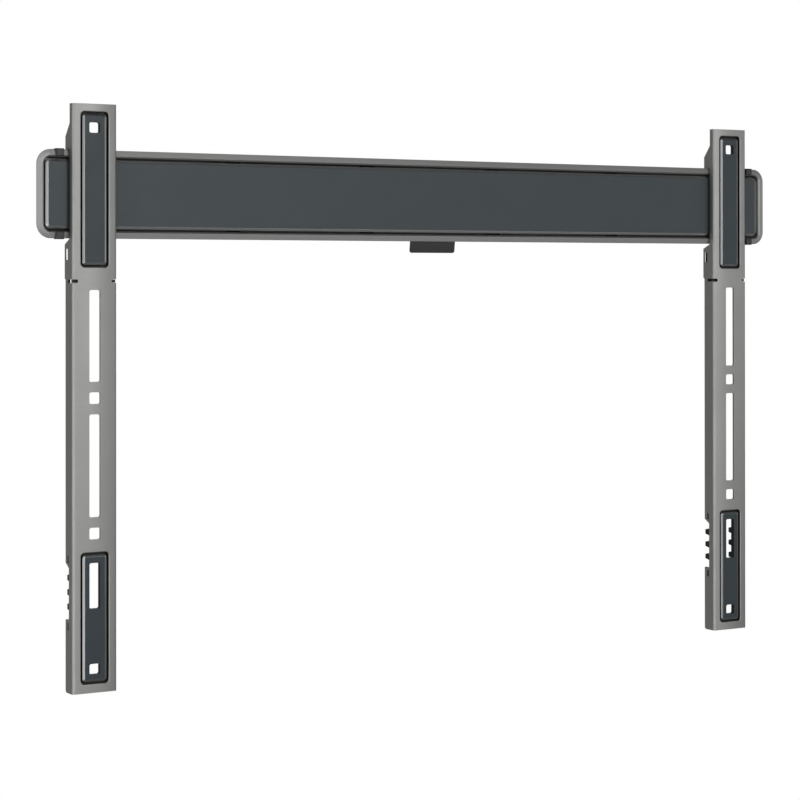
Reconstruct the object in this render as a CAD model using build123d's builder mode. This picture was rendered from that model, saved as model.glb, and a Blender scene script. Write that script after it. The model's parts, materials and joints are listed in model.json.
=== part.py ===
import os
from math import radians, tan

from build123d import *

os.makedirs("parts", exist_ok=True)

# Fixed wall bracket for a flat screen. Lengths are millimetres. The wall is the plane y = 0, the screen
# hangs toward -Y, and z = 0 is the middle of the wall plate. A height is measured out from the wall.
# A depth is measured back from the arms' front face. A rise or a drop is measured along z.

# Wall plate: a drawn tray with a rim that stands clear of the wall
plate_height = 65.7
plate_depth = 8.8
plate_sheet = 2.0
plate_overhang = 25.1
plate_corner_radius = 11.0
plate_rim_width = 5.2
plate_draft = 12.0
rim_inner_bevel = 0.9
rim_slope_width = 4.0
rim_slope_depth = 0.9
wall_slot_length = 25.0
wall_slot_width = 9.0
wall_slot_row_spacing = 28.0
wall_slot_pitch = 101.6

# Cover panel that fills the tray, held by snap tabs in the tray's long walls
cover_gap = 1.6
cover_recess = 0.8
cover_wall = 2.2
cover_bevel_width = 2.4
cover_bevel_depth = 1.2
snap_width = 12.0
snap_thickness = 1.6
snap_height = 3.4
snap_fit = 0.25
snap_pitch = 120.0
snap_count = 4

# End stops that keep the arms on the rim
stop_width = 6.2
stop_arm_gap = 4.4
stop_wall = 1.8
stop_wrap = 0.6
stop_notch_depth = 1.0
stop_back_reach = 3.0
stop_fit = 0.1
stop_bevel = 0.5

# Centre tab below the plate
tab_width = 42.2
tab_drop = 9.2
tab_thickness = 1.6
tab_lean = 1.1
tab_seat = 2.6
tab_corner_radius = 2.0

# Arms: folded channels that hook over the rim
arm_spacing = 600.0
arm_stand_off = 6.2
arm_width = 35.8
arm_sheet = 2.0
arm_bend_radius = 2.2
arm_end_margin = 17.5
flange_corner_radius = 0.8
flange_end_radius = 2.5

# Bolt holes for the screen, down the middle of each arm
top_hole_rise = 49.2
middle_hole_drop = 200.0
low_hole_drop = 300.0
bottom_hole_drop = 400.0
hole_size = 8.7
hole_corner_radius = 1.4
slot_hole_margin = 12.0
slot_relief_margin = 6.5

# Outline of the arms' flanges
top_flange_depth = 5.4
hook_rise = 9.7
hook_ramp = 9.9
hook_reach = 3.0
hook_gap = 0.3
hook_wall_gap = 1.7
foot_ramp = 3.9
foot_wall_gap = 0.5
foot_step = 1.0
foot_relief_margin = 2.1
flange_wall_gap = 2.0
recess_depth = 7.0
recess_drop = 7.5
recess_ramp = 3.7
recess_length = 41.8
lock_slot_depth = 9.05
lock_slot_width = 3.85
lock_strip_sheet = 0.8
lock_slot_drop = 7.6
lock_slot_length = 8.2
relief_drop = 10.4
relief_width = 2.5
relief_reach = 4.4
relief_depth = 8.5

# Inserts moulded to fill the windows in the arms
window_width = 22.4
window_corner_radius = 3.0
upper_window_rise = 11.6
upper_window_length = 114.8
lower_window_drop = 10.7
lower_window_length = 96.7
insert_gap = 1.5
insert_corner_radius = 2.4
insert_bevel_width = 1.7
insert_bevel_depth = 0.9
insert_moat_depth = 1.4
insert_plate_gap = 2.0
backing_end_margin = 2.6
backing_side_gap = 2.2
insert_hole_width = 8.5
insert_hole_height = 7.8
insert_slot_drop = 7.7
insert_slot_length = 33.8
housing_wall = 2.0
housing_wall_gap = 0.6
housing_plate_gap = 4.0
housing_side_gap = 0.3
housing_length = 18.0
tail_inset = 0.5
tail_wall_gap = 2.6
lug_thickness = 1.7
lug_fit = 0.2
lug_inset = 0.5
rail_width = 5.7
rail_side_gap = 0.15
rail_depth = 9.5
rail_end_margin = 1.5
tooth_base = 6.2
tooth_flank = 78.0
tooth_wall_gap = 0.1
tooth_drop = 11.4
tooth_pitch = 10.7
tooth_count = 3
catch_depth = 7.6
catch_length = 4.7
catch_top_margin = 2.6
catch_bottom_margin = 5.3
catch_fit = 0.25
catch_inset = 0.1

# Wall plate sizes that follow
plate_width = arm_spacing + arm_width + 2 * plate_overhang
plate_top = plate_height / 2
rim_back = plate_depth - plate_sheet
opening_width = plate_width - 2 * plate_rim_width
opening_height = plate_height - 2 * plate_rim_width
opening_radius = plate_corner_radius - plate_rim_width
tray_width = opening_width + 2 * plate_sheet
tray_height = opening_height + 2 * plate_sheet
tray_radius = opening_radius + plate_sheet
wall_slot_columns = int((opening_width / 2 - wall_slot_length) / wall_slot_pitch)
wall_slot_offsets = [step * wall_slot_pitch for step in range(1, wall_slot_columns + 1)]
cover_width = opening_width - 2 * cover_gap
cover_height = opening_height - 2 * cover_gap
cover_radius = opening_radius - cover_gap
cover_top = plate_depth - cover_recess
cover_back = cover_top - cover_wall
hollow_inset = cover_wall * (1 + tan(radians(plate_draft)))
rim_slope = rim_slope_depth / rim_slope_width
snap_span = tray_height - 2 * (plate_depth - snap_height) * tan(radians(plate_draft)) - 2 * snap_fit
stop_x = arm_spacing / 2 + arm_width / 2 + stop_arm_gap + stop_width / 2

# Arm sizes that follow
arm_front = plate_depth + arm_stand_off
arm_back = arm_front - arm_sheet
arm_top = top_hole_rise + arm_end_margin
bottom_hole_z = top_hole_rise - bottom_hole_drop
arm_bottom = bottom_hole_z - arm_end_margin
upper_window_top = top_hole_rise + upper_window_rise
upper_window_bottom = upper_window_top - upper_window_length
upper_window_z = (upper_window_top + upper_window_bottom) / 2
lower_window_bottom = bottom_hole_z - lower_window_drop
lower_window_top = lower_window_bottom + lower_window_length
lower_window_z = (lower_window_top + lower_window_bottom) / 2
middle_hole_z = top_hole_rise - middle_hole_drop
low_hole_z = top_hole_rise - low_hole_drop
relief_z = upper_window_bottom - relief_drop
upper_slot_top = relief_z - slot_relief_margin
upper_slot_bottom = middle_hole_z + slot_hole_margin
lower_slot_top = middle_hole_z - slot_hole_margin
lower_slot_bottom = low_hole_z + slot_hole_margin
foot_end = relief_z + foot_relief_margin
recess_top = lower_window_top - recess_drop
recess_bottom = recess_top - recess_length
lock_slot_z = -plate_top - lock_slot_drop - lock_slot_length / 2
lock_slot_height = arm_front - lock_slot_depth - lock_slot_width / 2
catch_top_z = recess_top + catch_top_margin
catch_bottom_z = recess_bottom - catch_bottom_margin
catch_thickness = rail_depth - catch_depth
catch_height = arm_front - catch_depth - catch_thickness / 2
insert_back = plate_depth + insert_plate_gap
boss_width = window_width - 2 * insert_gap
backing_width = arm_width - 2 * (arm_bend_radius + backing_side_gap)
housing_top = -plate_top - housing_plate_gap
housing_bottom = housing_top - housing_length
housing_width = arm_width - 2 * (arm_sheet + housing_side_gap)
tail_bottom = relief_z - relief_width / 2
tail_width = backing_width - 2 * tail_inset
rail_outer = arm_width / 2 - arm_sheet - rail_side_gap
rail_inner = rail_outer - rail_width
rail_top = catch_top_z + catch_length / 2 + rail_end_margin
rail_bottom = catch_bottom_z - catch_length / 2 - rail_end_margin
rail_height = arm_front - rail_depth
insert_slot_z = lower_window_top - insert_slot_drop - insert_slot_length / 2
arm_sides = (("left", -arm_spacing / 2), ("right", arm_spacing / 2))

# The tray is drawn back from the rim to the wall, and its floor takes the wall screws
with BuildPart() as wall_plate:
    with BuildSketch(Plane.XZ.offset(plate_depth)):
        RectangleRounded(tray_width, tray_height, tray_radius)
    extrude(amount=-plate_depth, taper=plate_draft)
    with BuildSketch(Plane.XZ.offset(plate_depth)):
        RectangleRounded(plate_width, plate_height, plate_corner_radius)
    extrude(amount=-plate_sheet)
    with BuildSketch(Plane.XZ.offset(plate_depth)):
        RectangleRounded(opening_width, opening_height, opening_radius)
    extrude(amount=plate_sheet - plate_depth, taper=plate_draft, mode=Mode.SUBTRACT)
    # the rim falls away to its outer edge
    rim_face = wall_plate.faces().sort_by(Axis.Y)[0]
    chamfer(rim_face.outer_wire().edges(), rim_slope_width, rim_slope_depth, reference=rim_face)
    rim_face = wall_plate.faces().sort_by(Axis.Y)[0]
    chamfer(rim_face.inner_wires()[0].edges(), rim_inner_bevel)
    with BuildSketch(Plane.XZ):
        for offset_x in wall_slot_offsets:
            with GridLocations(2 * offset_x, wall_slot_row_spacing, 2, 2):
                SlotOverall(wall_slot_length, wall_slot_width)
    extrude(amount=plate_sheet, mode=Mode.SUBTRACT)
    # windows for the cover's snap tabs
    with BuildSketch(Plane.XZ.offset(snap_height - snap_fit)):
        with GridLocations(snap_pitch, 0, snap_count, 1):
            Rectangle(snap_width + 2 * snap_fit, tray_height)
    extrude(amount=snap_thickness + 2 * snap_fit, mode=Mode.SUBTRACT)
    # notches that hold the end stops in place along the rim
    with BuildSketch(Plane.XZ.offset(plate_depth)):
        with GridLocations(2 * stop_x, plate_height, 2, 2):
            Rectangle(stop_width + 2 * stop_fit, 2 * stop_notch_depth)
    extrude(amount=-plate_sheet, mode=Mode.SUBTRACT)
wall_plate.part.label = "wall_plate"
export_step(wall_plate.part, "parts/wall_plate.step")

# The cover is an open-backed shell that stands on the tray's floor
with BuildPart() as cover_panel:
    with BuildSketch(Plane.XZ.offset(cover_top)):
        RectangleRounded(cover_width, cover_height, cover_radius)
    extrude(amount=plate_sheet - cover_top, taper=plate_draft)
    cover_front = cover_panel.faces().sort_by(Axis.Y)[0]
    chamfer(cover_front.edges(), cover_bevel_width, cover_bevel_depth, reference=cover_front)
    with BuildSketch(Plane.XZ.offset(snap_height)):
        with GridLocations(snap_pitch, 0, snap_count, 1):
            Rectangle(snap_width, snap_span)
    extrude(amount=snap_thickness)
    with BuildSketch(Plane.XZ.offset(cover_back)):
        RectangleRounded(
            cover_width - 2 * hollow_inset,
            cover_height - 2 * hollow_inset,
            cover_radius - cover_wall / 2,
        )
    extrude(amount=plate_sheet - cover_back, taper=plate_draft, mode=Mode.SUBTRACT)
cover_panel.part.label = "cover_panel"
export_step(cover_panel.part, "parts/cover_panel.step")

# Each end stop is a clip round the rim, with one leg in front and one behind
for side, side_sign in (("left", -1), ("right", 1)):
    for level, level_sign in (("top", 1), ("bottom", -1)):
        clip_label = f"end_stop_{side}_{level}"
        clip_edge = level_sign * (plate_top + stop_wrap)
        notch_edge = level_sign * (plate_top - stop_notch_depth)
        notch_height = plate_depth - rim_slope * (rim_slope_width - stop_notch_depth)
        slope_start = level_sign * (plate_top - rim_slope_width)
        front_end = level_sign * opening_height / 2
        back_end = level_sign * (plate_top - stop_back_reach)
        with BuildPart() as end_stop:
            with BuildSketch(Plane.YZ.offset(side_sign * stop_x)):
                with BuildLine():
                    Polyline(
                        (-plate_depth - stop_wall, clip_edge),
                        (-plate_depth - stop_wall, front_end),
                        (-plate_depth, front_end),
                        (-plate_depth, slope_start),
                        (-notch_height, notch_edge),
                        (-rim_back, notch_edge),
                        (-rim_back, back_end),
                        (stop_wall - rim_back, back_end),
                        (stop_wall - rim_back, clip_edge),
                        close=True,
                    )
                make_face()
            extrude(amount=stop_width / 2, both=True)
            front_leg = end_stop.faces().sort_by(Axis.Y)[0]
            chamfer(front_leg.edges(), stop_bevel)
        end_stop.part.label = clip_label
        export_step(end_stop.part, f"parts/{clip_label}.step")

# The tab sits flat behind the rim and leans back toward the wall below it
with BuildPart() as centre_tab:
    with BuildSketch(Plane.YZ):
        with BuildLine():
            Polyline(
                (-rim_back, tab_seat - plate_top),
                (-rim_back, -plate_top),
                (tab_lean - rim_back, -plate_top - tab_drop),
                (tab_lean + tab_thickness - rim_back, -plate_top - tab_drop),
                (tab_thickness - rim_back, -plate_top),
                (tab_thickness - rim_back, tab_seat - plate_top),
                close=True,
            )
        make_face()
    extrude(amount=tab_width / 2, both=True)
    tab_ends = centre_tab.edges().filter_by(Axis.Y).group_by(Axis.Z)[0]
    fillet(tab_ends, tab_corner_radius)
centre_tab.part.label = "centre_tab"
export_step(centre_tab.part, "parts/centre_tab.step")

# Each arm is folded from one sheet. Its flanges are cut to hook over the rim and clear the plate.
for side, arm_x in arm_sides:
    with BuildPart() as arm:
        with BuildSketch(Plane.XY.offset(arm_bottom)):
            with BuildLine():
                FilletPolyline(
                    (arm_x - arm_width / 2, 0),
                    (arm_x - arm_width / 2, -arm_front),
                    (arm_x + arm_width / 2, -arm_front),
                    (arm_x + arm_width / 2, 0),
                    radius=arm_bend_radius,
                )
                offset(amount=arm_sheet, side=Side.LEFT)
            make_face()
        extrude(amount=arm_top - arm_bottom)
        with BuildSketch(Plane.YZ.offset(arm_x)) as flange_outline:
            with BuildLine():
                Polyline(
                    (-arm_front - arm_sheet, arm_top),
                    (top_flange_depth - arm_front, arm_top),
                    (top_flange_depth - arm_front, plate_top + hook_rise + hook_ramp),
                    (-hook_wall_gap, plate_top + hook_rise),
                    (-hook_wall_gap, plate_top - hook_reach),
                    (hook_gap - rim_back, plate_top - hook_reach),
                    (hook_gap - rim_back, plate_top),
                    (-plate_depth - hook_gap, plate_top),
                    (-plate_depth - hook_gap, -plate_top - hook_gap),
                    (-foot_wall_gap, -plate_top - hook_gap - foot_ramp),
                    (-foot_wall_gap, foot_end),
                    (-flange_wall_gap, foot_end - foot_step),
                    (-flange_wall_gap, recess_top),
                    (recess_depth - arm_front, recess_top - recess_ramp),
                    (recess_depth - arm_front, recess_bottom),
                    (-flange_wall_gap, recess_bottom),
                    (-flange_wall_gap, arm_bottom),
                    (-arm_front - arm_sheet, arm_bottom),
                    close=True,
                )
            make_face()
            rear_band = max(hook_wall_gap, foot_wall_gap, flange_wall_gap)
            rear_corners = flange_outline.vertices().filter_by_position(Axis.X, -rear_band, 0)
            fillet(rear_corners.sort_by(Axis.Y)[1:], flange_corner_radius)
            bottom_corners = flange_outline.vertices().group_by(Axis.Y)[0]
            fillet(bottom_corners.sort_by(Axis.X)[-1], flange_end_radius)
        extrude(amount=arm_width, both=True, mode=Mode.INTERSECT)
        # windows for the inserts, then slots and square holes for the screen's bolts
        with BuildSketch(Plane.XZ.offset(arm_front)):
            with Locations((arm_x, upper_window_z)):
                RectangleRounded(window_width, upper_window_length, window_corner_radius)
            with Locations((arm_x, lower_window_z)):
                RectangleRounded(window_width, lower_window_length, window_corner_radius)
            with Locations((arm_x, (upper_slot_top + upper_slot_bottom) / 2)):
                RectangleRounded(hole_size, upper_slot_top - upper_slot_bottom, hole_corner_radius)
            with Locations((arm_x, (lower_slot_top + lower_slot_bottom) / 2)):
                RectangleRounded(hole_size, lower_slot_top - lower_slot_bottom, hole_corner_radius)
            with Locations((arm_x, middle_hole_z), (arm_x, low_hole_z)):
                RectangleRounded(hole_size, hole_size, hole_corner_radius)
        extrude(amount=-arm_sheet, mode=Mode.SUBTRACT)
        # reliefs across both folds where the flanges change depth
        with BuildSketch(Plane.XZ.offset(arm_front)):
            with Locations((arm_x - arm_width / 2, relief_z), (arm_x + arm_width / 2, relief_z)):
                SlotOverall(2 * relief_reach, relief_width)
        extrude(amount=-relief_depth, mode=Mode.SUBTRACT)
        # lock slot and catch holes through both flanges
        with BuildSketch(Plane.YZ.offset(arm_x)):
            with Locations((-lock_slot_height, lock_slot_z)):
                Rectangle(lock_slot_width, lock_slot_length)
            with Locations((-catch_height, catch_top_z), (-catch_height, catch_bottom_z)):
                Rectangle(catch_thickness + 2 * catch_fit, catch_length + 2 * catch_fit)
        extrude(amount=arm_width, both=True, mode=Mode.SUBTRACT)
        # the strip behind the lock slot is thinned from inside
        with BuildSketch(Plane.YZ.offset(arm_x)):
            with Locations((lock_slot_depth - arm_front, lock_slot_z)):
                Rectangle(arm_front, lock_slot_length, align=(Align.MIN, Align.CENTER))
        extrude(amount=arm_width / 2 - lock_strip_sheet, both=True, mode=Mode.SUBTRACT)
    arm.part.label = f"arm_{side}"
    export_step(arm.part, f"parts/arm_{side}.step")

# The upper insert runs in front of the wall plate and ends in a hollow housing below it
for side, arm_x in arm_sides:
    with BuildPart() as upper_insert:
        with BuildSketch(Plane.XZ.offset(arm_back)):
            with Locations((arm_x, upper_window_z)):
                RectangleRounded(boss_width, upper_window_length - 2 * insert_gap, insert_corner_radius)
        extrude(amount=arm_sheet)
        boss_face = upper_insert.faces().sort_by(Axis.Y)[0]
        chamfer(boss_face.edges(), insert_bevel_width, insert_bevel_depth, reference=boss_face)
        backing_top = upper_window_top + backing_end_margin
        with BuildSketch(Plane.XZ.offset(arm_back)):
            with Locations((arm_x, (backing_top + tail_bottom) / 2)):
                RectangleRounded(backing_width, backing_top - tail_bottom, window_corner_radius)
        extrude(amount=insert_back - arm_back)
        # a moat round the front keeps it clear of the window's edge
        with BuildSketch(Plane.XZ.offset(arm_back)):
            with Locations((arm_x, upper_window_z)):
                RectangleRounded(window_width, upper_window_length, window_corner_radius)
                RectangleRounded(
                    boss_width,
                    upper_window_length - 2 * insert_gap,
                    insert_corner_radius,
                    mode=Mode.SUBTRACT,
                )
        extrude(amount=-insert_moat_depth, mode=Mode.SUBTRACT)
        with BuildSketch(Plane.XZ.offset(insert_back)):
            with Locations((arm_x, housing_top)):
                Rectangle(housing_width, housing_length, align=(Align.CENTER, Align.MAX))
        extrude(amount=housing_wall_gap - insert_back)
        with BuildSketch(Plane.XZ.offset(insert_back)):
            with Locations((arm_x, housing_top)):
                Rectangle(tail_width, housing_top - tail_bottom, align=(Align.CENTER, Align.MAX))
        extrude(amount=tail_wall_gap - insert_back)
        with BuildSketch(Plane.XZ.offset(housing_wall_gap)):
            with Locations((arm_x, housing_top)):
                Rectangle(housing_width, housing_length, align=(Align.CENTER, Align.MAX))
                Rectangle(tail_width, housing_top - tail_bottom, align=(Align.CENTER, Align.MAX))
            offset(amount=-housing_wall, kind=Kind.INTERSECTION, mode=Mode.REPLACE)
        extrude(amount=insert_back - housing_wall_gap, mode=Mode.SUBTRACT)
        # a bar whose ends snap into the arm's reliefs
        with BuildSketch(Plane.XZ.offset(arm_back)):
            with Locations((arm_x, relief_z)):
                Rectangle(arm_width - 2 * lug_inset, relief_width - 2 * lug_fit)
        extrude(amount=-lug_thickness)
        with BuildSketch(Plane.XZ.offset(insert_back)):
            with Locations((arm_x, top_hole_rise)):
                RectangleRounded(insert_hole_width, insert_hole_height, hole_corner_radius)
        extrude(amount=arm_front, mode=Mode.SUBTRACT)
    upper_insert.part.label = f"upper_insert_{side}"
    export_step(upper_insert.part, f"parts/upper_insert_{side}.step")

# The lower insert carries two toothed rails that steady the arm against the wall
for side, arm_x in arm_sides:
    with BuildPart() as lower_insert:
        with BuildSketch(Plane.XZ.offset(arm_back)):
            with Locations((arm_x, lower_window_z)):
                RectangleRounded(boss_width, lower_window_length - 2 * insert_gap, insert_corner_radius)
        extrude(amount=arm_sheet)
        boss_face = lower_insert.faces().sort_by(Axis.Y)[0]
        chamfer(boss_face.edges(), insert_bevel_width, insert_bevel_depth, reference=boss_face)
        with BuildSketch(Plane.XZ.offset(arm_back)):
            with Locations((arm_x, lower_window_z)):
                RectangleRounded(
                    backing_width,
                    lower_window_length + 2 * backing_end_margin,
                    window_corner_radius,
                )
        extrude(amount=insert_back - arm_back)
        with BuildSketch(Plane.XZ.offset(arm_back)):
            with Locations((arm_x, lower_window_z)):
                RectangleRounded(window_width, lower_window_length, window_corner_radius)
                RectangleRounded(
                    boss_width,
                    lower_window_length - 2 * insert_gap,
                    insert_corner_radius,
                    mode=Mode.SUBTRACT,
                )
        extrude(amount=-insert_moat_depth, mode=Mode.SUBTRACT)
        with BuildSketch(Plane.XZ.offset(insert_back)):
            with Locations((arm_x, bottom_hole_z)):
                RectangleRounded(insert_hole_width, insert_hole_height, hole_corner_radius)
            with Locations((arm_x, insert_slot_z)):
                RectangleRounded(insert_hole_width, insert_slot_length, hole_corner_radius)
        extrude(amount=arm_front, mode=Mode.SUBTRACT)
        for rail_sign in (-1, 1):
            with BuildSketch(Plane.YZ.offset(arm_x + rail_sign * rail_inner)):
                with Locations((-insert_back, (rail_top + rail_bottom) / 2)):
                    Rectangle(
                        insert_back - rail_height,
                        rail_top - rail_bottom,
                        align=(Align.MIN, Align.CENTER),
                    )
                for tooth in range(tooth_count):
                    with Locations((-rail_height, recess_top - tooth_drop - tooth * tooth_pitch)):
                        Trapezoid(
                            tooth_base,
                            rail_height - tooth_wall_gap,
                            tooth_flank,
                            rotation=-90,
                            align=(Align.CENTER, Align.MIN),
                        )
            extrude(amount=rail_sign * rail_width)
            with BuildSketch(Plane.YZ.offset(arm_x + rail_sign * rail_outer)):
                with Locations((-catch_height, catch_top_z), (-catch_height, catch_bottom_z)):
                    Rectangle(catch_thickness, catch_length)
            extrude(amount=rail_sign * (arm_width / 2 - rail_outer - catch_inset))
    lower_insert.part.label = f"lower_insert_{side}"
    export_step(lower_insert.part, f"parts/lower_insert_{side}.step")
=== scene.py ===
import json
import math

import bmesh
import bpy
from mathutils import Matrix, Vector

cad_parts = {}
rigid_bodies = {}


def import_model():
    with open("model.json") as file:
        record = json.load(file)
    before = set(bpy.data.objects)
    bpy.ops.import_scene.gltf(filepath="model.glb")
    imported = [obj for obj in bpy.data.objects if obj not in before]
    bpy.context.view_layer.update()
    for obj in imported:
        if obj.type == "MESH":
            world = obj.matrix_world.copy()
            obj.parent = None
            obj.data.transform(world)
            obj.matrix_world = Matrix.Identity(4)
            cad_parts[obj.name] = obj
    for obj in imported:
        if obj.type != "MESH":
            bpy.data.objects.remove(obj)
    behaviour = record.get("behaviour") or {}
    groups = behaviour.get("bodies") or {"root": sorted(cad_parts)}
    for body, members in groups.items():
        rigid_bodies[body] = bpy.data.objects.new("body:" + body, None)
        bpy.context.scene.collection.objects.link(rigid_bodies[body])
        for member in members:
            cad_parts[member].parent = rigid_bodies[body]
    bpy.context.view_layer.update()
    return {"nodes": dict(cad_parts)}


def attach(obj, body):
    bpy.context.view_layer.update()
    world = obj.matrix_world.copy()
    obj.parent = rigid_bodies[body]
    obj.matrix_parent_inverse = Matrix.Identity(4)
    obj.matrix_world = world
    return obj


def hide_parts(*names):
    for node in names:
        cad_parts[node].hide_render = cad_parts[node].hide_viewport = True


for leftover in list(bpy.data.objects):
    bpy.data.objects.remove(leftover)
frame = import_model()

bl_info = {
    "name": "Screen wall bracket",
    "version": (1, 0, 0),
    "blender": (4, 5, 0),
    "location": "View3D > Sidebar > Bracket",
    "description": "Finishes the plate, panel, arms and inserts of a fixed screen wall bracket",
    "category": "Object",
}

MM = 0.001
BODY = "root"
OUTWARD = Vector((0.0, -1.0, 0.0))

# Points this near are one point, faces this flat to each other are one face, and edges this sharp are rounded
WELD_DISTANCE = 0.001 * MM
FLAT_ANGLE = math.radians(0.5)
SHARP_ANGLE = math.radians(25.0)

# Faces across the rounding of an edge
SHEET_STEPS = 2
WINDOW_STEPS = 4
MOULDED_STEPS = 3
CLIP_STEPS = 2

# Middle of each arm, the place of its front, and how far its two windows reach sideways and in height
ARM_MIDDLES = {"left": -300.0 * MM, "right": 300.0 * MM}
ARM_FRONT = -15.0 * MM
FRONT_TOLERANCE = 0.05 * MM
WINDOW_REACH = 11.3 * MM
WINDOW_SPANS = ((-54.1 * MM, 60.9 * MM), (-361.6 * MM, -264.7 * MM))

# Levels at which flat faces are parted, so that none of them runs round a hole
ARM_CUTS = [level * MM for level in (49.0, 0.0, -60.0, -105.0, -145.0, -151.0, -200.0, -251.0, -315.0)]
INSERT_CUTS = [level * MM for level in (49.2, -46.5, -289.0, -350.8)]
PLATE_CUTS = [level * MM for level in (14.0, 0.0, -14.0)]
WALL_SLOT_PITCH = 101.6 * MM
WALL_SLOT_COLUMNS = 3

# Cosines between which a face counts as a bevel of a moulding, and the depth of an insert's finished front
SLOPE_LEAST = math.cos(math.radians(34.0))
SLOPE_MOST = math.cos(math.radians(20.0))
INSERT_SKIN = 1.2 * MM

# A noise lies mostly between these values. The fine one draws the grain, and the broad one, so many grains wide,
# sways the roughness.
NOISE_LOW, NOISE_HIGH = 0.3, 0.7
FINE_DETAIL, FINE_ROUGHNESS = 3.0, 0.6
BROAD_DETAIL, BROAD_ROUGHNESS = 2.0, 0.5
BROAD_GRAINS = 20.0
ROUGHNESS_SWAY = 0.02

# Painted shade darkens a surface's colour within this reach of a corner, between these shares of open space round
# it
CORNER_REACH = 8.0 * MM
CORNER_SHUT = 0.38
CORNER_OPEN = 0.82
CORNER_SAMPLES = 16

# Each softbox: azimuth and elevation in degrees from the front, width and height in metres, radiance
SOFTBOXES = {
    "left_wall": (-82.8, -1.2, 3.43, 0.74, 2.61),
    "low_left": (-55.2, -19.3, 3.51, 1.43, 1.29),
    "left_strip": (-24.4, 10.9, 0.58, 2.97, 3.80),
    "front_strip": (10.6, 11.5, 0.61, 1.50, 6.30),
    "low_right": (31.0, -30.0, 1.20, 0.70, 1.60),
    "right_wall": (56.3, 3.0, 3.94, 1.00, 1.05),
}
SOFTBOX_AIM = Vector((0.0, 0.0, -0.15))
SOFTBOX_DISTANCE = 3.2

# The room: a dim band of light below the horizon, its level and spread in degrees, brighter to the left
ROOM_RADIANCE = 0.172
ROOM_LEVEL = -22.8
ROOM_SPREAD = 59.9
ROOM_LEAN = -0.41

# The white backdrop hangs behind the bracket, across from the place of the photo's camera
BACKDROP_AZIMUTH = 149.0
BACKDROP_ELEVATION = -2.0
BACKDROP_HALF_ANGLE = 40.0
WHITE = (1.0, 1.0, 1.0, 1.0)

FLOOR_SIDES = 128

# The photo's camera: its lens in millimetres, how far the picture is lowered as a share of its width, its place
# and its near and far limits in metres, and its turn in degrees
CAMERA_LENS = 105.853
CAMERA_SHIFT = -0.165
CAMERA_PLACE = (-1.00957, -1.61723, -0.06113)
CAMERA_NEAR, CAMERA_FAR = 0.05, 50.0
CAMERA_TURN = (90.2086, 0.0378, -31.2763)


def linear(hex_code):
    """Linear red, green and blue of an sRGB hex colour."""
    channels = [int(hex_code[i:i + 2], 16) / 255 for i in (1, 3, 5)]
    return tuple(c / 12.92 if c <= 0.04045 else ((c + 0.055) / 1.055) ** 2.4 for c in channels)


def add_node(tree, kind, inputs=None, **settings):
    """Adds a node with its settings, and fills its inputs with values or with other nodes' outputs."""
    made = tree.nodes.new(kind)
    for name, value in settings.items():
        setattr(made, name, value)
    for key, value in (inputs or {}).items():
        if isinstance(value, bpy.types.NodeSocket):
            tree.links.new(value, made.inputs[key])
        else:
            made.inputs[key].default_value = value
    return made


def colour_property(name, description, hex_code):
    return bpy.props.FloatVectorProperty(
        name=name, description=description, default=linear(hex_code), subtype="COLOR", size=3, min=0.0, max=1.0
    )


def length_property(name, description, millimetres):
    return bpy.props.FloatProperty(
        name=name, description=description, default=millimetres * MM, min=0.0, unit="LENGTH", subtype="DISTANCE"
    )


class BracketColours(bpy.types.PropertyGroup):
    arm_coat: colour_property("Arm coat", "Silver powder coat on the arms", "#a6a6a4")
    plate_coat: colour_property("Plate coat", "Silver powder coat on the wall plate", "#a0a09f")
    panel_plastic: colour_property("Panel plastic", "Slate plastic of the cover panel", "#394246")
    panel_edge: colour_property("Panel edge", "Satin plating on the bevels of the panel", "#babbbb")
    insert_plastic: colour_property("Insert plastic", "Slate plastic of the arms' inserts", "#2e393e")
    insert_edge: colour_property("Insert edge", "Darker plating on the bevels of the inserts", "#9fa0a0")
    # Near-black painted shade for the holes, grooves and rails behind the inserts' fronts
    hollow_shade_black: colour_property("Base plastic", "Black plastic behind the inserts' fronts", "#161718")
    clip_plastic: colour_property("Clip plastic", "Dark plastic of the end stops and tab", "#282929")
    floor_paint: colour_property("Floor", "Pale studio floor", "#e8e8e6")


class BracketSizes(bpy.types.PropertyGroup):
    sheet_round: length_property("Sheet edge", "Rounding of the cut edges of the sheet", 0.15)
    window_round: length_property("Window edge", "Rounding round the windows in the arms", 0.8)
    moulded_round: length_property("Moulded edge", "Rounding of the panel's moulded edges", 0.3)
    clip_round: length_property("Clip edge", "Rounding of the edges of the clips and inserts", 0.2)
    arm_crown: length_property("Arm crown", "Radius of the crown in the shading of an arm's face", 65.0)
    floor_drop: length_property("Floor drop", "Height of the plate's middle over the floor", 1800.0)
    floor_radius: length_property("Floor radius", "Radius of the round studio floor", 550.0)


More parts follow.
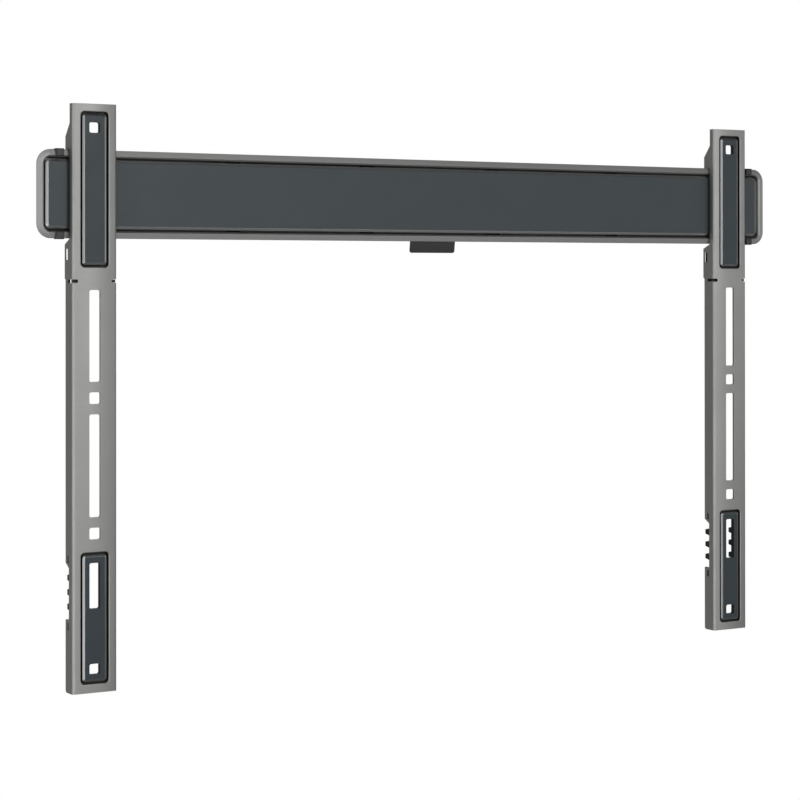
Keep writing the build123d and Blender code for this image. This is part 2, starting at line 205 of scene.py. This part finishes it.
def grained_surface(name, colour, *, metallic, roughness, grain, relief, mottle, corner_shade, crown=None):
    """A material whose brightness, gloss and height vary with a grain. The grain's width and its relief are
    lengths, mottle is the share by which its brightness varies, and corner_shade is the share of it that is lost
    in tight corners, as painted shade. Crown is the radius to which the flat faces of the arms are shaded."""
    material = bpy.data.materials.new(name)
    material.use_nodes = True
    tree = material.node_tree
    tree.nodes.clear()
    place = add_node(tree, "ShaderNodeTexCoord").outputs["Object"]
    fine = add_node(
        tree, "ShaderNodeTexNoise",
        {"Vector": place, "Scale": 1.0 / grain, "Detail": FINE_DETAIL, "Roughness": FINE_ROUGHNESS},
    )
    broad = add_node(
        tree, "ShaderNodeTexNoise",
        {
            "Vector": place, "Scale": 1.0 / (BROAD_GRAINS * grain),
            "Detail": BROAD_DETAIL, "Roughness": BROAD_ROUGHNESS,
        },
    )
    tone = add_node(
        tree, "ShaderNodeMapRange",
        {
            "Value": fine.outputs["Fac"], "From Min": NOISE_LOW, "From Max": NOISE_HIGH,
            "To Min": 1.0 - mottle, "To Max": 1.0 + mottle,
        },
    )
    # Painted shade: the colour is darkened where the ambient occlusion finds other surfaces close by
    openness = add_node(
        tree, "ShaderNodeAmbientOcclusion", {"Distance": CORNER_REACH}, samples=CORNER_SAMPLES
    )
    corner_shading = add_node(
        tree, "ShaderNodeMapRange",
        {
            "Value": openness.outputs["AO"], "From Min": CORNER_SHUT, "From Max": CORNER_OPEN,
            "To Min": 1.0 - corner_shade, "To Max": 1.0,
        },
        interpolation_type="SMOOTHSTEP",
    )
    shade = add_node(
        tree, "ShaderNodeMath", {0: tone.outputs["Result"], 1: corner_shading.outputs["Result"]}, operation="MULTIPLY"
    )
    tinted = add_node(tree, "ShaderNodeHueSaturation", {"Color": (*colour, 1.0), "Value": shade.outputs[0]})
    gloss = add_node(
        tree, "ShaderNodeMapRange",
        {
            "Value": broad.outputs["Fac"], "From Min": NOISE_LOW, "From Max": NOISE_HIGH,
            "To Min": roughness - ROUGHNESS_SWAY, "To Max": roughness + ROUGHNESS_SWAY,
        },
    )
    height = add_node(tree, "ShaderNodeMath", {0: fine.outputs["Fac"], 1: relief}, operation="MULTIPLY")
    if crown:
        # A crown falls away by the square of the distance from the arm's middle over twice its radius
        split = add_node(tree, "ShaderNodeSeparateXYZ", {"Vector": place})
        across = add_node(tree, "ShaderNodeMath", {0: split.outputs["X"]}, operation="ABSOLUTE")
        offset = add_node(
            tree, "ShaderNodeMath", {0: across.outputs[0], 1: ARM_MIDDLES["right"]}, operation="SUBTRACT"
        )
        square = add_node(
            tree, "ShaderNodeMath", {0: offset.outputs[0], 1: offset.outputs[0]}, operation="MULTIPLY"
        )
        height = add_node(
            tree, "ShaderNodeMath",
            {0: square.outputs[0], 1: -0.5 / crown, 2: height.outputs[0]}, operation="MULTIPLY_ADD",
        )
    bump = add_node(tree, "ShaderNodeBump", {"Height": height.outputs[0], "Distance": 1.0, "Strength": 1.0})
    shader = add_node(
        tree, "ShaderNodeBsdfPrincipled",
        {
            "Base Color": tinted.outputs["Color"], "Metallic": metallic, "Roughness": gloss.outputs["Result"],
            "Normal": bump.outputs["Normal"],
        },
    )
    add_node(tree, "ShaderNodeOutputMaterial", {"Surface": shader.outputs["BSDF"]})
    return material


def plated_edge(name, colour):
    """Satin plating on a moulding's bevels: it mirrors the room softly, so a bevel is bright or dark by the
    way it faces. Its brush marks of 0.05 mm are too fine to show, so they are drawn 0.8 mm wide."""
    # Painted shade darkens the plating a little in corners
    return grained_surface(
        name, colour,
        metallic=1.0, roughness=0.33, grain=0.8 * MM, relief=0.001 * MM, mottle=0.02, corner_shade=0.15,
    )


def anywhere(_point):
    return True


def at_window(point):
    """True for a point on the front edge of a window in either arm."""
    return (
        abs(point.y - ARM_FRONT) < FRONT_TOLERANCE
        and min(abs(point.x - middle) for middle in ARM_MIDDLES.values()) < WINDOW_REACH
        and any(low < point.z < high for low, high in WINDOW_SPANS)
    )


def one_finish(_face):
    return 0


def panel_finish(face):
    """1 for the panel's bevels, 0 for the rest of it."""
    return int(SLOPE_LEAST < face.normal.dot(OUTWARD) < SLOPE_MOST)


def insert_finish(face):
    """0 for an insert's front, 1 for its bevels, 2 for all that lies behind, which is coloured near-black as
    painted shade.
    """
    facing = face.normal.dot(OUTWARD)
    if face.calc_center_median().y > ARM_FRONT + INSERT_SKIN or facing < SLOPE_LEAST:
        return 2
    return int(facing < SLOPE_MOST)


def rounded_piece(node_name, label, materials, finish, rounds, cuts):
    """A copy of a node with its flat faces joined and its outer edges rounded, which stands for the node.
    Finish gives the number of a face's material. Each entry of rounds is a test for an edge's middle, a width
    and a number of faces. Each entry of cuts is an axis and a place on it, where flat faces are parted."""
    mesh = bpy.data.meshes.new(label)
    work = bmesh.new()
    work.from_mesh(frame["nodes"][node_name].data)
    bmesh.ops.remove_doubles(work, verts=work.verts, dist=WELD_DISTANCE)
    for axis, place in cuts:
        normal = Vector([float(axis == name) for name in "XYZ"])
        parted = bmesh.ops.bisect_plane(
            work, geom=[*work.verts, *work.edges, *work.faces], dist=WELD_DISTANCE,
            plane_co=normal * place, plane_no=normal,
        )
        for item in parted["geom_cut"]:
            if isinstance(item, bmesh.types.BMEdge):
                item.seam = True
    bmesh.ops.dissolve_limit(
        work, angle_limit=FLAT_ANGLE, verts=work.verts, edges=work.edges, delimit={"SEAM"}
    )
    work.normal_update()
    for face in work.faces:
        face.material_index = finish(face)
    for belongs, width, steps in rounds:
        edges = [
            edge
            for edge in work.edges
            if edge.calc_face_angle_signed(0.0) > SHARP_ANGLE
            and belongs((edge.verts[0].co + edge.verts[1].co) / 2)
        ]
        bmesh.ops.bevel(
            work, geom=edges, offset=width, offset_type="OFFSET", segments=steps, profile=0.5,
            affect="EDGES", clamp_overlap=False, loop_slide=True, material=-1,
        )
    for face in work.faces:
        face.smooth = True
    for edge in work.edges:
        edge.seam = False
    for material in materials:
        mesh.materials.append(material)
    work.to_mesh(mesh)
    work.free()
    # What the node says of its own normals no longer fits the rounded edges
    for name in ("custom_normal", "sharp_edge", "sharp_face"):
        if name in mesh.attributes:
            mesh.attributes.remove(mesh.attributes[name])
    piece = bpy.data.objects.new(label, mesh)
    bpy.context.scene.collection.objects.link(piece)
    piece.modifiers.new("flat_faces", "WEIGHTED_NORMAL")
    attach(piece, BODY)
    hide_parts(node_name)


class BRACKET_OT_wall_plate(bpy.types.Operator):
    """Makes the wall plate"""

    bl_idname = "bracket.wall_plate"
    bl_label = "Wall plate"

    def execute(self, context):
        colours, sizes = context.scene.bracket_colours, context.scene.bracket_sizes
        # Powder coat over drawn steel: metal flake in the film gives a soft grey sheen and a faint speckle.
        # Flake of 0.1 mm is too fine to show, so it is drawn 1.2 mm wide.
        # Painted shade darkens the plate's coat a little next to corners
        coat = grained_surface(
            "silver_powder_coat_on_drawn_steel", colours.plate_coat,
            metallic=1.0, roughness=0.5, grain=1.2 * MM, relief=0.002 * MM, mottle=0.02, corner_shade=0.2,
        )
        columns = range(-WALL_SLOT_COLUMNS, WALL_SLOT_COLUMNS + 1)
        rounded_piece(
            "wall_plate", "plate_pressing", [coat], one_finish,
            [(anywhere, sizes.sheet_round, SHEET_STEPS)],
            [*(("Z", level) for level in PLATE_CUTS), *(("X", step * WALL_SLOT_PITCH) for step in columns)],
        )
        return {"FINISHED"}


class BRACKET_OT_cover_panel(bpy.types.Operator):
    """Makes the cover panel"""

    bl_idname = "bracket.cover_panel"
    bl_label = "Cover panel"

    def execute(self, context):
        colours, sizes = context.scene.bracket_colours, context.scene.bracket_sizes
        # Moulded ABS with a spark-eroded skin: an even, dark slate with a dull sheen. The skin's grain of
        # 0.15 mm is too fine to show, so it is drawn 0.9 mm wide.
        # Painted shade darkens the panel's corners and the strip of it beside the arms' flanges
        plastic = grained_surface(
            "spark_textured_abs_panel", colours.panel_plastic,
            metallic=0.0, roughness=0.45, grain=0.9 * MM, relief=0.004 * MM, mottle=0.03, corner_shade=0.8,
        )
        edge = plated_edge("satin_plated_abs", colours.panel_edge)
        rounded_piece(
            "cover_panel", "panel_moulding", [plastic, edge], panel_finish,
            [(anywhere, sizes.moulded_round, MOULDED_STEPS)], [("Z", 0.0), ("X", 0.0)],
        )
        return {"FINISHED"}


class BRACKET_OT_clips(bpy.types.Operator):
    """Makes the four end stops and the centre tab"""

    bl_idname = "bracket.clips"
    bl_label = "End stops and tab"

    def execute(self, context):
        colours, sizes = context.scene.bracket_colours, context.scene.bracket_sizes
        # Moulded nylon: nearly black, with a soft gloss and a slightly uneven skin. The skin's grain of 0.2 mm
        # is too fine to show, so it is drawn 0.8 mm wide.
        # Painted shade darkens the clips' corners
        plastic = grained_surface(
            "moulded_nylon_clip", colours.clip_plastic,
            metallic=0.0, roughness=0.4, grain=0.8 * MM, relief=0.004 * MM, mottle=0.04, corner_shade=0.8,
        )
        pieces = {"centre_tab": "tab_moulding"}
        for side in ARM_MIDDLES:
            for level in ("top", "bottom"):
                pieces[f"end_stop_{side}_{level}"] = f"stop_clip_{side}_{level}"
        for node_name, label in pieces.items():
            rounded_piece(
                node_name, label, [plastic], one_finish,
                [(anywhere, sizes.clip_round, CLIP_STEPS)], [],
            )
        return {"FINISHED"}


class BRACKET_OT_arms(bpy.types.Operator):
    """Makes the two arms"""

    bl_idname = "bracket.arms"
    bl_label = "Arms"

    def execute(self, context):
        colours, sizes = context.scene.bracket_colours, context.scene.bracket_sizes
        # The plate's powder coat over folded steel, with the same coarsened flake. The face of an arm is flat,
        # and the crown in its shading gives the soft change of tone across it. Its corners get the most painted
        # shade.
        coat = grained_surface(
            "silver_powder_coat_on_folded_steel", colours.arm_coat,
            metallic=1.0, roughness=0.5, grain=1.2 * MM, relief=0.002 * MM, mottle=0.02, corner_shade=0.95,
            crown=sizes.arm_crown,
        )
        for side, middle in ARM_MIDDLES.items():
            rounded_piece(
                f"arm_{side}", f"arm_channel_{side}", [coat], one_finish,
                [(at_window, sizes.window_round, WINDOW_STEPS), (anywhere, sizes.sheet_round, SHEET_STEPS)],
                [("X", middle), *(("Z", level) for level in ARM_CUTS)],
            )
        return {"FINISHED"}


class BRACKET_OT_inserts(bpy.types.Operator):
    """Makes the upper and lower inserts"""

    bl_idname = "bracket.inserts"
    bl_label = "Inserts"

    def execute(self, context):
        colours, sizes = context.scene.bracket_colours, context.scene.bracket_sizes
        # The panel's moulded ABS, a shade darker, with the same spark-eroded skin, drawn as coarse.
        # Painted shade darkens the inserts' grooves and corners strongly
        plastic = grained_surface(
            "spark_textured_abs_insert", colours.insert_plastic,
            metallic=0.0, roughness=0.45, grain=0.9 * MM, relief=0.004 * MM, mottle=0.03, corner_shade=0.95,
        )
        edge = plated_edge("dark_satin_plated_abs", colours.insert_edge)
        # The near-black colour behind the slate front is painted shade: it keeps the holes, grooves and rails
        # nearly lightless.
        base = grained_surface(
            "black_painted_shade_base", colours.hollow_shade_black,
            metallic=0.0, roughness=0.5, grain=0.9 * MM, relief=0.004 * MM, mottle=0.03, corner_shade=0.95,
        )
        for side, middle in ARM_MIDDLES.items():
            for level in ("upper", "lower"):
                rounded_piece(
                    f"{level}_insert_{side}", f"{level}_pad_{side}",
                    [plastic, edge, base], insert_finish, [(anywhere, sizes.clip_round, CLIP_STEPS)],
                    [("X", middle), *(("Z", height) for height in INSERT_CUTS)],
                )
        return {"FINISHED"}


def toward(azimuth, elevation):
    """Unit vector at an azimuth from the front, positive to the right, and an elevation, in degrees."""
    a, e = math.radians(azimuth), math.radians(elevation)
    return Vector((math.sin(a) * math.cos(e), -math.cos(a) * math.cos(e), math.sin(e)))


class BRACKET_OT_stage(bpy.types.Operator):
    """Makes the floor, the lights and the camera"""

    bl_idname = "bracket.stage"
    bl_label = "Stage"

    def execute(self, context):
        scene = context.scene
        scene.view_settings.view_transform = "Standard"
        self.lay_floor(scene)
        self.hang_softboxes(scene)
        self.light_room(scene)
        self.set_camera(scene)
        return {"FINISHED"}

    def lay_floor(self, scene):
        colours, sizes = scene.bracket_colours, scene.bracket_sizes
        mesh = bpy.data.meshes.new("studio_floor")
        work = bmesh.new()
        bmesh.ops.create_circle(work, cap_ends=True, segments=FLOOR_SIDES, radius=sizes.floor_radius)
        work.to_mesh(mesh)
        work.free()
        # Matt painted board: pale and even, with a faint roller texture of 4 mm.
        paint = grained_surface(
            "matt_painted_board", colours.floor_paint,
            metallic=0.0, roughness=0.8, grain=4.0 * MM, relief=0.02 * MM, mottle=0.01, corner_shade=0.0,
        )
        mesh.materials.append(paint)
        floor = bpy.data.objects.new("studio_floor", mesh)
        floor.location.z = -sizes.floor_drop
        scene.collection.objects.link(floor)

    def hang_softboxes(self, scene):
        for name, (azimuth, elevation, width, height, radiance) in SOFTBOXES.items():
            lamp = bpy.data.lights.new(name, "AREA")
            lamp.shape = "RECTANGLE"
            lamp.size, lamp.size_y = width, height
            lamp.energy = math.pi * radiance * width * height
            holder = bpy.data.objects.new(name, lamp)
            out = toward(azimuth, elevation)
            holder.location = SOFTBOX_AIM + out * SOFTBOX_DISTANCE
            holder.rotation_mode = "QUATERNION"
            holder.rotation_quaternion = (-out).to_track_quat("-Z", "Y")
            holder.visible_camera = False
            scene.collection.objects.link(holder)

    def light_room(self, scene):
        world = bpy.data.worlds.new("studio_room")
        scene.world = world
        world.use_nodes = True
        tree = world.node_tree
        tree.nodes.clear()
        way = add_node(tree, "ShaderNodeTexCoord").outputs["Generated"]
        room = add_node(
            tree, "ShaderNodeBackground", {"Color": WHITE, "Strength": self.room_strength(tree, way)}
        )
        white = add_node(tree, "ShaderNodeBackground", {"Color": WHITE, "Strength": 1.0})
        mixed = add_node(
            tree, "ShaderNodeMixShader",
            {0: self.backdrop_share(tree, way), 1: room.outputs[0], 2: white.outputs[0]},
        )
        add_node(tree, "ShaderNodeOutputWorld", {"Surface": mixed.outputs[0]})

    def room_strength(self, tree, way):
        """The room's radiance: a bell curve over the elevation, times a slope from left to right."""
        split = add_node(tree, "ShaderNodeSeparateXYZ", {"Vector": way})
        rise = add_node(tree, "ShaderNodeMath", {0: split.outputs["Z"]}, operation="ARCSINE")
        offset = add_node(
            tree, "ShaderNodeMath", {0: rise.outputs[0], 1: math.radians(ROOM_LEVEL)}, operation="SUBTRACT"
        )
        square = add_node(
            tree, "ShaderNodeMath", {0: offset.outputs[0], 1: offset.outputs[0]}, operation="MULTIPLY"
        )
        falling = add_node(
            tree, "ShaderNodeMath",
            {0: square.outputs[0], 1: -0.5 / math.radians(ROOM_SPREAD) ** 2}, operation="MULTIPLY",
        )
        band = add_node(tree, "ShaderNodeMath", {0: falling.outputs[0]}, operation="EXPONENT")
        leaning = add_node(
            tree, "ShaderNodeMath",
            {0: split.outputs["X"], 1: ROOM_LEAN * ROOM_RADIANCE, 2: ROOM_RADIANCE}, operation="MULTIPLY_ADD",
        )
        strength = add_node(
            tree, "ShaderNodeMath", {0: band.outputs[0], 1: leaning.outputs[0]}, operation="MULTIPLY"
        )
        return strength.outputs[0]

    def backdrop_share(self, tree, way):
        """1 where white shows: to the camera all round, and to metal and clear parts at the backdrop."""
        path = add_node(tree, "ShaderNodeLightPath")
        facing = add_node(
            tree, "ShaderNodeVectorMath",
            {0: way, 1: toward(BACKDROP_AZIMUTH, BACKDROP_ELEVATION)}, operation="DOT_PRODUCT",
        )
        inside = add_node(
            tree, "ShaderNodeMath",
            {0: facing.outputs["Value"], 1: math.cos(math.radians(BACKDROP_HALF_ANGLE))},
            operation="GREATER_THAN",
        )
        shine = add_node(
            tree, "ShaderNodeMath",
            {0: path.outputs["Is Glossy Ray"], 1: path.outputs["Is Transmission Ray"]}, operation="MAXIMUM",
        )
        mirrored = add_node(
            tree, "ShaderNodeMath", {0: shine.outputs[0], 1: inside.outputs[0]}, operation="MULTIPLY"
        )
        seen = add_node(
            tree, "ShaderNodeMath",
            {0: path.outputs["Is Camera Ray"], 1: mirrored.outputs[0]}, operation="MAXIMUM",
        )
        return seen.outputs[0]

    def set_camera(self, scene):
        camera = bpy.data.cameras.new("photo_camera")
        camera.lens = CAMERA_LENS
        camera.shift_y = CAMERA_SHIFT
        camera.clip_start, camera.clip_end = CAMERA_NEAR, CAMERA_FAR
        viewer = bpy.data.objects.new("photo_camera", camera)
        viewer.location = CAMERA_PLACE
        viewer.rotation_euler = [math.radians(turn) for turn in CAMERA_TURN]
        scene.collection.objects.link(viewer)
        scene.camera = viewer


class BRACKET_PT_panel(bpy.types.Panel):
    """Lists the bracket's operators"""

    bl_idname = "BRACKET_PT_panel"
    bl_label = "Bracket"
    bl_space_type = "VIEW_3D"
    bl_region_type = "UI"
    bl_category = "Bracket"

    def draw(self, context):
        for operator in OPERATORS:
            self.layout.operator(operator.bl_idname)


OPERATORS = (
    BRACKET_OT_wall_plate,
    BRACKET_OT_cover_panel,
    BRACKET_OT_clips,
    BRACKET_OT_arms,
    BRACKET_OT_inserts,
    BRACKET_OT_stage,
)
CLASSES = (BracketColours, BracketSizes, *OPERATORS, BRACKET_PT_panel)


def register():
    for cls in CLASSES:
        bpy.utils.register_class(cls)
    bpy.types.Scene.bracket_colours = bpy.props.PointerProperty(type=BracketColours)
    bpy.types.Scene.bracket_sizes = bpy.props.PointerProperty(type=BracketSizes)


def unregister():
    del bpy.types.Scene.bracket_sizes
    del bpy.types.Scene.bracket_colours
    for cls in reversed(CLASSES):
        bpy.utils.unregister_class(cls)


def main():
    register()
    bpy.ops.bracket.wall_plate()
    bpy.ops.bracket.cover_panel()
    bpy.ops.bracket.clips()
    bpy.ops.bracket.arms()
    bpy.ops.bracket.inserts()
    bpy.ops.bracket.stage()


if __name__ == "__main__":
    main()
